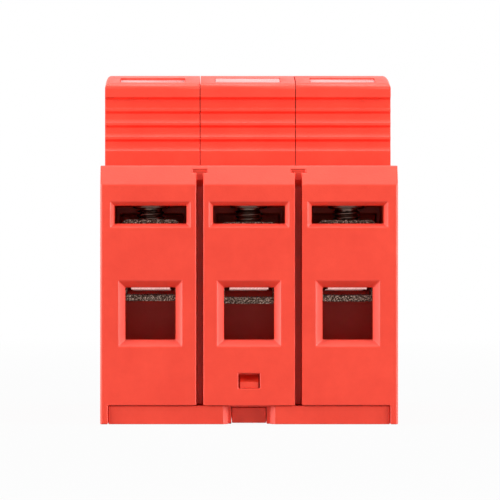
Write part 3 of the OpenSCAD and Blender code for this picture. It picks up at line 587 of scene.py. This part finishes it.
def screw_rings(length, head_r):
    """Rings of the screw from its tip up: each is a height and a radius for every side."""
    turns = [2 * math.pi * j / SCREW_SIDES for j in range(SCREW_SIDES)]
    thread_end = length - HEAD_HEIGHT - NECK
    count = round(thread_end / THREAD_PITCH * RINGS_PER_PITCH)
    rings = [(0.0, [SHANK_R - TIP_BEVEL - THREAD_DEPTH] * SCREW_SIDES)]
    for i in range(count + 1):
        z = thread_end * i / count
        tip = max(0.0, TIP_BEVEL - z)
        rings.append((z, [thread_radius(z, turn) - tip for turn in turns]))
    neck_r = SHANK_R - THREAD_DEPTH
    under = length - HEAD_HEIGHT
    head = [
        (under - NECK * NECK_SHARE, neck_r), (under, neck_r),
        (under, head_r - HEAD_INSET), (under + HEAD_BEVEL, head_r),
    ]
    for i in range(HEAD_EDGE_STEPS + 1):
        swing = math.pi / 2 * i / HEAD_EDGE_STEPS
        edge_z = length - HEAD_DOME - HEAD_EDGE + HEAD_EDGE * math.sin(swing)
        head.append((edge_z, head_r - HEAD_EDGE + HEAD_EDGE * math.cos(swing)))
    for share in DOME_RINGS:
        head.append((length - HEAD_DOME * share * share * DOME_FALL, (head_r - HEAD_EDGE) * share))
    for z, radius in head:
        rings.append((z, [radius] * SCREW_SIDES))
    return rings, turns


def ring_loops(rings, turns):
    """The points of each ring of the screw."""
    return [[(r * math.cos(a), r * math.sin(a), z) for r, a in zip(radii, turns)] for z, radii in rings]


def drive_cutter(length, head_r):
    """The slot across the head and the shorter slot that crosses it, as one closed outline."""
    half = DRIVE_WIDTH / 2
    long = head_r * SLOT_REACH
    short = head_r * CROSS_REACH
    outline = [
        (long, -half), (long, half), (half, half), (half, short), (-half, short), (-half, half),
        (-long, half), (-long, -half), (-half, -half), (-half, -short), (half, -short), (half, -half),
    ]
    form = bmesh.new()
    base = [form.verts.new((x, y, length - DRIVE_DEPTH)) for x, y in outline]
    floor = form.faces.new(base)
    grown = bmesh.ops.extrude_face_region(form, geom=[floor])
    top = [v for v in grown["geom"] if isinstance(v, bmesh.types.BMVert)]
    bmesh.ops.translate(form, verts=top, vec=(0, 0, 2 * DRIVE_DEPTH))
    bmesh.ops.recalc_face_normals(form, faces=form.faces)
    mesh = bpy.data.meshes.new("drive_cutter")
    form.to_mesh(mesh)
    form.free()
    return mesh


def screw_form():
    """The whole screw as one mesh, standing on its tip at the origin."""
    low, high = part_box(f"terminal_screw_{TERMINALS[0]}")
    length = high[2] - low[2]
    head_r = (high[0] - low[0]) / 2
    loops = ring_loops(*screw_rings(length, head_r))
    blank = bpy.data.objects.new("screw_blank", skin_mesh("screw_blank", loops))
    cutter = bpy.data.objects.new("drive_cutter", drive_cutter(length, head_r))
    for thing in (blank, cutter):
        bpy.context.scene.collection.objects.link(thing)
    cut = blank.modifiers.new("drive", "BOOLEAN")
    cut.operation = "DIFFERENCE"
    cut.object = cutter
    bpy.context.view_layer.update()
    mesh = bpy.data.meshes.new_from_object(blank.evaluated_get(bpy.context.evaluated_depsgraph_get()))
    mesh.name = "threaded_terminal_screw"
    for thing in (blank, cutter):
        bpy.data.objects.remove(thing)
    mesh.materials.clear()
    mesh.materials.append(painted_shade_screw_metal)
    smooth_faces(mesh)
    return mesh


screw_mesh = screw_form()
for terminal, turn in zip(TERMINALS, SCREW_TURNS):
    low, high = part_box(f"terminal_screw_{terminal}")
    screw = bpy.data.objects.new(f"threaded_screw_{terminal}", screw_mesh)
    screw.location = ((low[0] + high[0]) / 2, (low[1] + high[1]) / 2, low[2])
    screw.rotation_euler = (0, 0, math.radians(turn))
    bpy.context.scene.collection.objects.link(screw)
    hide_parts(f"terminal_screw_{terminal}")
    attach(screw, f"screw_{terminal}")


# Floor, light and camera, in metres and watts

FLOOR_HALF = 3.0
FLOOR_DROP = 0.02 * MM
FLOOR_GLOW = 0.95
SHADOW_REACH = 0.15
WHITE_REACH = 0.6
ROOM_FILL = 0.03
LAMP_AIM = (0, 0, 0.035)
LAMP_SIZE = 0.5
LAMPS = {
    "top_softbox": ((0, -0.05, 0.8), 4.8),
    "left_softbox": ((-0.68, -0.22, 0.15), 8.6),
    "right_softbox": ((0.68, -0.22, 0.15), 9.8),
    "rear_left_softbox": ((-0.6, 0.4, 0.3), 2.4),
    "rear_right_softbox": ((0.6, 0.4, 0.3), 2.4),
}
CAMERA_PLACE = (-7 * MM, -695 * MM, 31.6 * MM)
SENSOR_MM = 36
LENS_MM = 258.3
LENS_SHIFT = 0.079
NEAREST_SEEN = 0.05


def seen_directly(tree):
    """One where the eye, a mirror or a window looks straight at the surface, and zero for soft light."""
    path = add_node(tree, "ShaderNodeLightPath")
    eye_or_gloss = add_node(
        tree, "ShaderNodeMath", {"operation": "MAXIMUM"},
        {0: path.outputs["Is Camera Ray"], 1: path.outputs["Is Glossy Ray"]},
    )
    return add_node(
        tree, "ShaderNodeMath", {"operation": "MAXIMUM"},
        {0: eye_or_gloss.outputs[0], 1: path.outputs["Is Transmission Ray"]},
    ).outputs[0]


def white_paper():
    """Matt white paper: grey for soft light, and near white with a faint shadow where it is looked at."""
    finish = bpy.data.materials.new("matt_white_paper")
    finish.use_nodes = True
    tree = finish.node_tree
    tree.nodes.clear()
    paper = add_node(tree, "ShaderNodeBsdfDiffuse", {"Color": linear("#9A9A9A")})
    glow = add_node(tree, "ShaderNodeEmission", {"Color": linear("#FFFFFF"), "Strength": 1.0})
    # The sheet runs out to plain white away from the arrester, as a swept backdrop does
    place = add_node(tree, "ShaderNodeTexCoord").outputs["Object"]
    away = add_node(tree, "ShaderNodeVectorMath", {"operation": "LENGTH"}, {0: place})
    bright = add_node(
        tree, "ShaderNodeMapRange",
        {"From Min": SHADOW_REACH, "From Max": WHITE_REACH, "To Min": FLOOR_GLOW, "To Max": 1.0},
        {"Value": away.outputs["Value"]},
    )
    share = add_node(
        tree, "ShaderNodeMath", {"operation": "MULTIPLY"},
        {0: seen_directly(tree), 1: bright.outputs["Result"]},
    )
    mixed = add_node(
        tree, "ShaderNodeMixShader", None,
        {"Fac": share.outputs[0], 1: paper.outputs["BSDF"], 2: glow.outputs["Emission"]},
    )
    add_node(tree, "ShaderNodeOutputMaterial", None, {"Surface": mixed.outputs["Shader"]})
    return finish


def lay_floor():
    """A floor just clear of the arrester's underside, so that the two faces don't coincide."""
    ends = [(-1, -1), (1, -1), (1, 1), (-1, 1)]
    corners = [(x * FLOOR_HALF, y * FLOOR_HALF, -FLOOR_DROP) for x, y in ends]
    mesh = bpy.data.meshes.new("floor")
    mesh.from_pydata(corners, [], [(0, 1, 2, 3)])
    mesh.materials.append(white_paper())
    floor = bpy.data.objects.new("floor", mesh)
    bpy.context.scene.collection.objects.link(floor)


def hang_softbox(name, place, watts):
    """A square soft light that faces the middle of the arrester."""
    lamp = bpy.data.lights.new(name, "AREA")
    lamp.shape = "SQUARE"
    lamp.size = LAMP_SIZE
    lamp.energy = watts
    box = bpy.data.objects.new(name, lamp)
    box.location = place
    aim = Vector(LAMP_AIM) - Vector(place)
    box.rotation_euler = aim.to_track_quat("-Z", "Y").to_euler()
    bpy.context.scene.collection.objects.link(box)


def light_room():
    """A white room where it is looked at, and a dim even fill for soft light."""
    world = bpy.data.worlds.new("studio")
    bpy.context.scene.world = world
    world.use_nodes = True
    tree = world.node_tree
    tree.nodes.clear()
    fill = add_node(tree, "ShaderNodeBackground", {"Color": linear("#FFFFFF"), "Strength": ROOM_FILL})
    white = add_node(tree, "ShaderNodeBackground", {"Color": linear("#FFFFFF"), "Strength": 1.0})
    mixed = add_node(
        tree, "ShaderNodeMixShader", None,
        {"Fac": seen_directly(tree), 1: fill.outputs["Background"], 2: white.outputs["Background"]},
    )
    add_node(tree, "ShaderNodeOutputWorld", None, {"Surface": mixed.outputs["Shader"]})


def set_camera():
    """Square on to the front terminals, a little left of the middle and at half height."""
    lens = bpy.data.cameras.new("camera")
    lens.sensor_width = SENSOR_MM
    lens.lens = LENS_MM
    lens.shift_x = LENS_SHIFT
    lens.clip_start = NEAREST_SEEN
    camera = bpy.data.objects.new("camera", lens)
    camera.location = CAMERA_PLACE
    camera.rotation_euler = (math.pi / 2, 0, 0)
    bpy.context.scene.collection.objects.link(camera)
    bpy.context.scene.camera = camera


lay_floor()
light_room()
for name, (place, watts) in LAMPS.items():
    hang_softbox(name, place, watts)
set_camera()
bpy.context.scene.view_settings.view_transform = "Standard"
